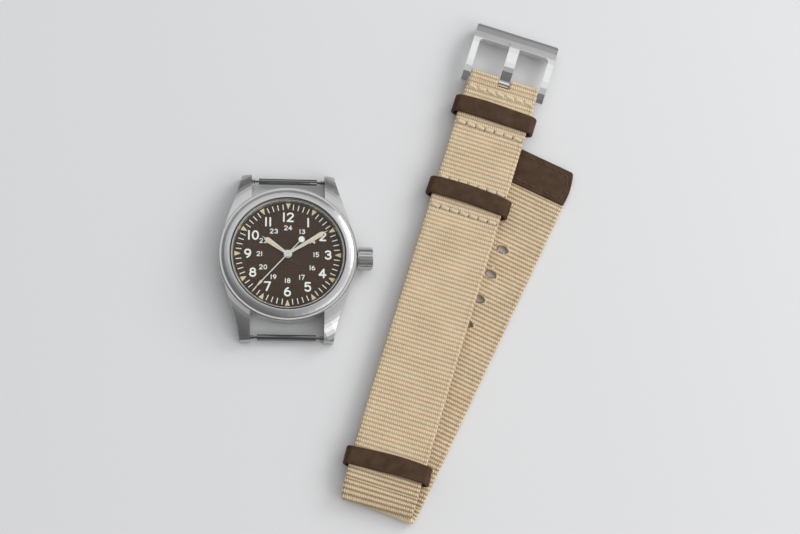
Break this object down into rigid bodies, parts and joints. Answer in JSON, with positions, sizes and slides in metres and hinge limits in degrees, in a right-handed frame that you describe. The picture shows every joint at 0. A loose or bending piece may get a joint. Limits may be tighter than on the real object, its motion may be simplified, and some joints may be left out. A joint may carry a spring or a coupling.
{
  "type": "wristwatch",
  "caption": "Hand-wound field wristwatch lying on its case back, with its folded webbing and leather strap and pin buckle beside it.",
  "frame": {"origin": "centre of the flat outer face of the case back", "axes": "+Z out through the crystal, +Y towards 12 o'clock, +X towards the crown at 3 o'clock"},
  "size_m": [0.0999, 0.1437, 0.0095],
  "materials": {
    "brushed_steel": "fine satin, slightly worn",
    "polished_steel": "polished stainless steel",
    "brass": "plated movement brass",
    "spring_steel": "blued spring steel",
    "crystal": "clear domed crystal",
    "rubber": "gasket rubber",
    "dial": "matt dark brown lacquer with white print and cream markers",
    "hands": "steel hands filled with cream paint",
    "webbing": "ribbed sand-coloured cotton webbing",
    "leather": "dark brown grained leather",
    "ring_holder": "plain movement ring"
  },
  "bodies": {
    "head": {"case_middle": "brushed_steel", "bezel": "brushed_steel", "crystal": "crystal", "crystal_gasket": "rubber", "rehaut_ring": "polished_steel", "dial": "dial", "movement_ring": "ring_holder", "main_plate": "brass", "barrel_bridge": "brushed_steel", "train_bridge": "brushed_steel", "balance_cock": "brushed_steel", "pallet_bridge": "brushed_steel", "case_back": "brushed_steel", "case_back_gasket": "rubber", "crown_tube": "polished_steel", "barrel_bridge_screw_1": "spring_steel", "barrel_bridge_screw_2": "spring_steel", "train_bridge_screw_1": "spring_steel", "train_bridge_screw_2": "spring_steel", "balance_cock_screw": "spring_steel"},
    "minute_arbor": {"minute_hand": "hands", "cannon_pinion": "polished_steel", "center_wheel": "brass"},
    "hour_arbor": {"hour_hand": "hands", "hour_wheel": "brass"},
    "seconds_arbor": {"second_hand": "hands", "fourth_wheel": "brass"},
    "third_arbor": {"third_wheel": "brass"},
    "minute_wheel_body": {"minute_wheel": "brass"},
    "barrel": {"barrel_drum": "brass", "barrel_cover": "brass"},
    "escape_arbor": {"escape_wheel": "polished_steel"},
    "fork": {"pallet_fork": "polished_steel"},
    "balance": {"balance_wheel": "brass", "hairspring": "spring_steel"},
    "winding": {"winding_pinion": "polished_steel"},
    "crown_body": {"crown": "brushed_steel", "winding_stem": "polished_steel"},
    "crown_wheel_body": {"crown_wheel": "polished_steel"},
    "ratchet": {"ratchet_wheel": "polished_steel", "barrel_arbor": "polished_steel", "mainspring": "spring_steel"},
    "click_body": {"click": "polished_steel"},
    "bar_12": {"spring_bar_12_tube": "polished_steel"},
    "bar_12_left": {"spring_bar_12_tip_left": "polished_steel"},
    "bar_12_right": {"spring_bar_12_tip_right": "polished_steel"},
    "bar_6": {"spring_bar_6_tube": "polished_steel"},
    "bar_6_left": {"spring_bar_6_tip_left": "polished_steel"},
    "bar_6_right": {"spring_bar_6_tip_right": "polished_steel"},
    "strap_lower": {"strap_tail": "webbing", "tip_leather": "leather", "strap_bend": "webbing"},
    "strap_leaf": {"strap_upper": "webbing", "strap_short_band": "webbing", "keeper_1": "leather", "keeper_2": "leather", "keeper_3": "leather"},
    "buckle": {"buckle_frame": "polished_steel", "buckle_bar": "polished_steel"},
    "tongue": {"buckle_tongue": "polished_steel"}
  },
  "joints": [
    {"name": "minute_turn", "type": "hinge", "parent": "head", "child": "minute_arbor", "pos_m": [0, 0, 0], "axis": [0, 0, 1], "continuous": true},
    {"name": "hour_turn", "type": "hinge", "parent": "head", "child": "hour_arbor", "pos_m": [0, 0, 0], "axis": [0, 0, 1], "continuous": true},
    {"name": "seconds_turn", "type": "hinge", "parent": "head", "child": "seconds_arbor", "pos_m": [0, 0, 0], "axis": [0, 0, 1], "continuous": true},
    {"name": "third_turn", "type": "hinge", "parent": "head", "child": "third_arbor", "pos_m": [-0.00458, -0.0004, 0], "axis": [0, 0, 1], "continuous": true},
    {"name": "minute_wheel_turn", "type": "hinge", "parent": "head", "child": "minute_wheel_body", "pos_m": [0.0016, -0.00277, 0], "axis": [0, 0, 1], "continuous": true},
    {"name": "barrel_turn", "type": "hinge", "parent": "head", "child": "barrel", "pos_m": [0.00344, 0.00539, 0], "axis": [0, 0, 1], "continuous": true},
    {"name": "escape_turn", "type": "hinge", "parent": "head", "child": "escape_arbor", "pos_m": [-0.00195, -0.00419, 0], "axis": [0, 0, 1], "continuous": true},
    {"name": "fork_rock", "type": "hinge", "parent": "head", "child": "fork", "pos_m": [-0.00019, -0.00589, 0], "axis": [0, 0, 1], "range_deg": [-5, 5]},
    {"name": "balance_swing", "type": "hinge", "parent": "head", "child": "balance", "pos_m": [0.0022, -0.0082, 0], "axis": [0, 0, 1], "range_deg": [-270, 270], "deforming": ["hairspring"]},
    {"name": "crown_turn", "type": "hinge", "parent": "head", "child": "winding", "pos_m": [0, 0, 0.00395], "axis": [1, 0, 0], "continuous": true},
    {"name": "crown_pull", "type": "slide", "parent": "winding", "child": "crown_body", "axis": [1, 0, 0], "range_m": [0, 0.0009]},
    {"name": "crown_wheel_turn", "type": "hinge", "parent": "head", "child": "crown_wheel_body", "pos_m": [0.0081, 0, 0], "axis": [0, 0, 1], "continuous": true},
    {"name": "ratchet_turn", "type": "hinge", "parent": "head", "child": "ratchet", "pos_m": [0.00344, 0.00539, 0], "axis": [0, 0, 1], "continuous": true, "deforming": ["mainspring"]},
    {"name": "click_lift", "type": "hinge", "parent": "head", "child": "click_body", "pos_m": [-0.00303, 0.00713, 0], "axis": [0, 0, 1], "range_deg": [0, 20]},
    {"name": "bar_12_turn", "type": "hinge", "parent": "head", "child": "bar_12", "pos_m": [0, 0.02225, 0.00195], "axis": [1, 0, 0], "continuous": true},
    {"name": "bar_12_left_press", "type": "slide", "parent": "bar_12", "child": "bar_12_left", "axis": [1, 0, 0], "range_m": [0, 0.001]},
    {"name": "bar_12_right_press", "type": "slide", "parent": "bar_12", "child": "bar_12_right", "axis": [-1, 0, 0], "range_m": [0, 0.001]},
    {"name": "bar_6_turn", "type": "hinge", "parent": "head", "child": "bar_6", "pos_m": [0, -0.02225, 0.00195], "axis": [1, 0, 0], "continuous": true},
    {"name": "bar_6_left_press", "type": "slide", "parent": "bar_6", "child": "bar_6_left", "axis": [1, 0, 0], "range_m": [0, 0.001]},
    {"name": "bar_6_right_press", "type": "slide", "parent": "bar_6", "child": "bar_6_right", "axis": [-1, 0, 0], "range_m": [0, 0.001]},
    {"name": "strap_lift", "type": "slide", "parent": "head", "child": "strap_lower", "axis": [0, 0, 1], "range_m": [0, 0.02]},
    {"name": "strap_unfold", "type": "hinge", "parent": "strap_lower", "child": "strap_leaf", "pos_m": [0.02494, -0.06715, 0.00263], "axis": [0.9323, -0.3616, 0], "range_deg": [0, 160], "deforming": ["strap_bend"]},
    {"name": "buckle_turn", "type": "hinge", "parent": "strap_leaf", "child": "buckle", "pos_m": [0.06062, 0.05217, 0.00373], "axis": [0.9558, -0.294, 0], "range_deg": [0, 35]},
    {"name": "tongue_lift", "type": "hinge", "parent": "buckle", "child": "tongue", "pos_m": [0.06062, 0.05217, 0.00373], "axis": [0.9558, -0.294, 0], "range_deg": [0, 50]}
  ],
  "couplings": [
    {"joint": "hour_turn", "follows": "minute_turn", "ratio": 0.083333},
    {"joint": "seconds_turn", "follows": "minute_turn", "ratio": 60},
    {"joint": "third_turn", "follows": "minute_turn", "ratio": -7.5},
    {"joint": "minute_wheel_turn", "follows": "minute_turn", "ratio": -0.33333},
    {"joint": "barrel_turn", "follows": "minute_turn", "ratio": -0.14286},
    {"joint": "escape_turn", "follows": "minute_turn", "ratio": -600},
    {"joint": "crown_wheel_turn", "follows": "crown_turn", "ratio": 0.66667},
    {"joint": "ratchet_turn", "follows": "crown_turn", "ratio": -0.30769}
  ]
}
